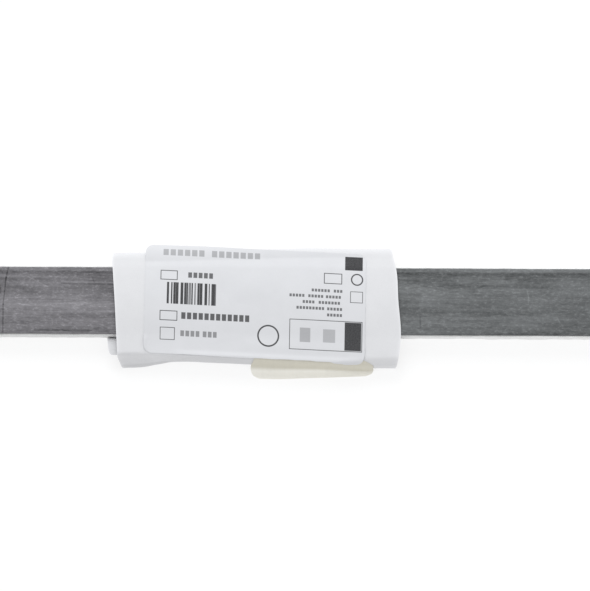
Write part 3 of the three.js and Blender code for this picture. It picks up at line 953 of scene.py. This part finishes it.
def label_grid():
    """The label's middle surface, and each point's place on the flat label"""
    straight = LABEL_HEIGHT / 2 - LABEL_CORNER
    angles = np.linspace(0, math.pi / 2, LABEL_CORNER_ROWS + 1)[1:]
    ends = straight + LABEL_CORNER * np.sin(angles)
    sides = np.linspace(-straight, straight, LABEL_ROWS - 2 * LABEL_CORNER_ROWS)
    v = np.concatenate([-ends[::-1], sides, ends])[::-1, None]
    into = np.maximum(np.abs(v) - straight, 0)
    half = LABEL_WIDTH / 2 - LABEL_CORNER + np.sqrt(np.maximum(LABEL_CORNER**2 - into**2, 0))
    u = half * np.linspace(-1, 1, LABEL_COLUMNS)
    v = v + 0 * u
    x = LABEL_MIDDLE_X + u * math.cos(LABEL_TURN) + v * math.sin(LABEL_LEAN)
    middle = LABEL_LOWER_Y + LABEL_HEIGHT / 2 / math.cos(LABEL_TURN)
    across = middle - u * math.sin(LABEL_TURN) + v * math.cos(LABEL_TURN)
    top_y = reading(TOP_FOLD, x)[0]
    bend = top_y - TOP_BEND_REACH
    within = np.minimum(across, bend)
    grid = np.dstack([x, on_sleeve(x, within)])
    past = np.maximum(across - bend, 0)
    angle = np.minimum(past / LABEL_CURL, LABEL_CURL_LIMIT)
    beyond = past - angle * LABEL_CURL
    grid[..., 1] += LABEL_CURL * np.sin(angle) + beyond * np.cos(angle)
    grid[..., 2] -= LABEL_CURL * (1 - np.cos(angle)) + beyond * np.sin(angle)
    lift = (PAPER_WALL + LABEL_WALL) / 2 + PAPER_GAP + paper_relief(x, within)
    lift = lift + (TAB_WALL + PAPER_GAP) * tab_share(x, across)
    lower = smoothstep(v, LIP_WIDTH - LABEL_HEIGHT / 2, -LABEL_HEIGHT / 2)
    lower = lower * smoothstep(u, *LIP_START)
    corner = smoothstep(u, CORNER_LIP_WIDTH - LABEL_WIDTH / 2, -LABEL_WIDTH / 2)
    corner = corner * smoothstep(v, *CORNER_LIP_REACH)
    lift = lift + LIP_HEIGHT * np.maximum(lower, corner)
    grid = grid - sheet_normals(grid) * lift[..., None]
    return grid, np.dstack([u, v, 0 * u])


def tab_share(x, across):
    """1 where the label lies over the tab, 0 away from it"""
    beside = np.abs(x - TAB_MIDDLE_X) - TAB_WIDTH / 2
    above = across - (label_lower_edge(x) + TAB_LAP)
    return (1 - smoothstep(beside, 0, TAB_RAMP)) * (1 - smoothstep(above, 0, TAB_RAMP))


def tab_grid():
    """The tab's middle surface, and each point's share of the way down it"""
    stations = np.linspace(*TAB_REACH, TAB_STATIONS)
    lift = (PAPER_WALL + TAB_WALL) / 2 + PAPER_GAP
    low_z = SURFACE_GAP + TAB_WALL / 2
    start = label_lower_edge(stations) + TAB_LAP
    points = []
    reliefs = []
    for share in np.linspace(0, 1, TAB_LAID_POINTS):
        across = start + (TAB_LEAVES - start) * share
        points.append(on_sleeve(stations, across))
        reliefs.append(paper_relief(stations, across))
    along = np.stack(points, axis=1)
    slope = np.gradient(along, axis=1)
    outward = np.stack([slope[..., 1], -slope[..., 0]], -1)
    outward /= np.linalg.norm(outward, axis=2, keepdims=True)
    along = along + outward * (lift + np.stack(reliefs, axis=1)[..., None])
    belly = along[:, -1, 0]
    bend_y = np.minimum(belly - TAB_BEND_ROOM, TAB_BEND_Y)
    end_y = reading(TAB_END, stations)[0]
    foot = np.stack([bend_y, np.full_like(stations, low_z)], -1)
    halfway_z, end_z = (low_z + rise for rise in TAB_RISES)
    halfway = np.stack([(bend_y + end_y) / 2, np.full_like(stations, halfway_z)], -1)
    end = np.stack([end_y, np.full_like(stations, end_z)], -1)
    corners = np.concatenate([along, foot[:, None], halfway[:, None], end[:, None]], axis=1)
    sections = rounded_sections(corners, TAB_ROWS, TAB_SMOOTHING)
    share = np.linspace(0, 1, TAB_ROWS)[:, None]
    left, right = reading(TAB_EDGES, share)
    x = left + (right - left) * np.linspace(0, 1, TAB_COLUMNS)
    place = (x - stations[0]) / (stations[1] - stations[0])
    low = np.clip(np.floor(place).astype(int), 0, len(stations) - 2)
    part = (place - low)[..., None]
    row = np.arange(TAB_ROWS)[:, None]
    points = sections[low, row] * (1 - part) + sections[low + 1, row] * part
    return np.dstack([x, points]), share + 0 * x


def add_light(name, place, size, power, colour):
    data = bpy.data.lights.new(name, "AREA")
    data.shape = "DISK"
    data.size = size
    data.energy = power
    data.color = colour
    light = bpy.data.objects.new(name, data)
    light.location = place
    light.rotation_euler = (-Vector(place)).to_track_quat("-Z", "Y").to_euler()
    bpy.context.scene.collection.objects.link(light)


def add_world():
    world = bpy.data.worlds.new("studio")
    world.use_nodes = True
    sky = world.node_tree.nodes["Background"]
    sky.inputs["Color"].default_value = SKY_COLOUR
    sky.inputs["Strength"].default_value = SKY_STRENGTH
    bpy.context.scene.world = world


def add_floor():
    graph = Graph("pale_floor", roughness=0.9, specular=0.1)
    cloud = graph.noise(graph.place(), 0.02, 2)
    graph.set("Base Color", graph.tint(FLOOR_COLOUR, graph.scaled(cloud, 0.01, 0.995)))
    graph.set("Emission Color", (1, 1, 1, 1))
    graph.set("Emission Strength", FLOOR_GLOW)
    mesh = bpy.data.meshes.new("floor")
    corners = np.array([(-1, -1, 0), (1, -1, 0), (1, 1, 0), (-1, 1, 0)]) * FLOOR_HALF
    mesh.from_pydata((corners * MM).tolist(), [], [(0, 1, 2, 3)])
    mesh.materials.append(graph.material)
    floor = bpy.data.objects.new("floor", mesh)
    bpy.context.scene.collection.objects.link(floor)


def add_camera():
    data = bpy.data.cameras.new("camera")
    data.sensor_fit = "HORIZONTAL"
    data.sensor_width = SENSOR_WIDTH
    data.lens = SENSOR_WIDTH * CAMERA_DISTANCE / IMAGE_WIDTH
    camera = bpy.data.objects.new("camera", data)
    elevation = math.radians(CAMERA_ELEVATION)
    away = Vector((0, -math.cos(elevation), math.sin(elevation)))
    target = Vector((0, CAMERA_TARGET_Y, METAL_TOP))
    turn = Matrix.Rotation(math.pi / 2 - elevation, 4, "X")
    roll = Matrix.Rotation(math.radians(CAMERA_ROLL), 4, "Z")
    place = Matrix.Translation((target + away * CAMERA_DISTANCE) * MM)
    camera.matrix_world = place @ turn @ roll
    bpy.context.scene.collection.objects.link(camera)
    bpy.context.scene.camera = camera


METAL_LOW, METAL_HIGH = (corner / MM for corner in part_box("aluminium_strip"))
FOAM_LOW, FOAM_HIGH = (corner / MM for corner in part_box("foam_pad"))
METAL_TOP = METAL_HIGH[2]
STATIONS, SECTIONS, WAYS = sleeve_sections()

add_camera()
add_world()
add_floor()
add_light("key", KEY_PLACE, KEY_SIZE, KEY_POWER, KEY_COLOUR)
bpy.context.scene.view_settings.view_transform = "Standard"

metal_points, metal_faces = bar_mesh(
    METAL_LOW, METAL_HIGH, METAL_CORNER, METAL_EDGE, METAL_STEP, *METAL_ROWS, metal_relief
)
add_piece("metal_band", metal_points, metal_faces, metal_material(), "aluminium_strip", "aluminium")

foam_points, foam_faces = bar_mesh(
    FOAM_LOW, FOAM_HIGH, FOAM_CORNER, FOAM_EDGE, FOAM_STEP, *FOAM_ROWS, foam_relief
)
foam = add_piece("foam_band", foam_points, foam_faces, foam_material(), "foam_pad", "foam")

paper_points, paper_rim_highlight = sleeve_grid()
sleeve = add_piece(
    "wound_sheet",
    *sheet_mesh(paper_points, PAPER_WALL),
    sleeve_material(),
    "paper_sleeve",
    "white_paper",
)
add_values(sleeve, "rim", paper_rim_highlight)

label_points, label_spots = label_grid()
sticker = add_piece(
    "sticker",
    *sheet_mesh(label_points, LABEL_WALL),
    label_material(),
    "label",
    "label_paper",
)
add_values(sticker, "spot", label_spots)

tab_points, tab_way = tab_grid()
tongue = add_piece(
    "cream_tongue",
    *sheet_mesh(tab_points, TAB_WALL),
    cream_material(),
    "closing_tab",
    "cream_paper",
)
add_values(tongue, "way", tab_way)
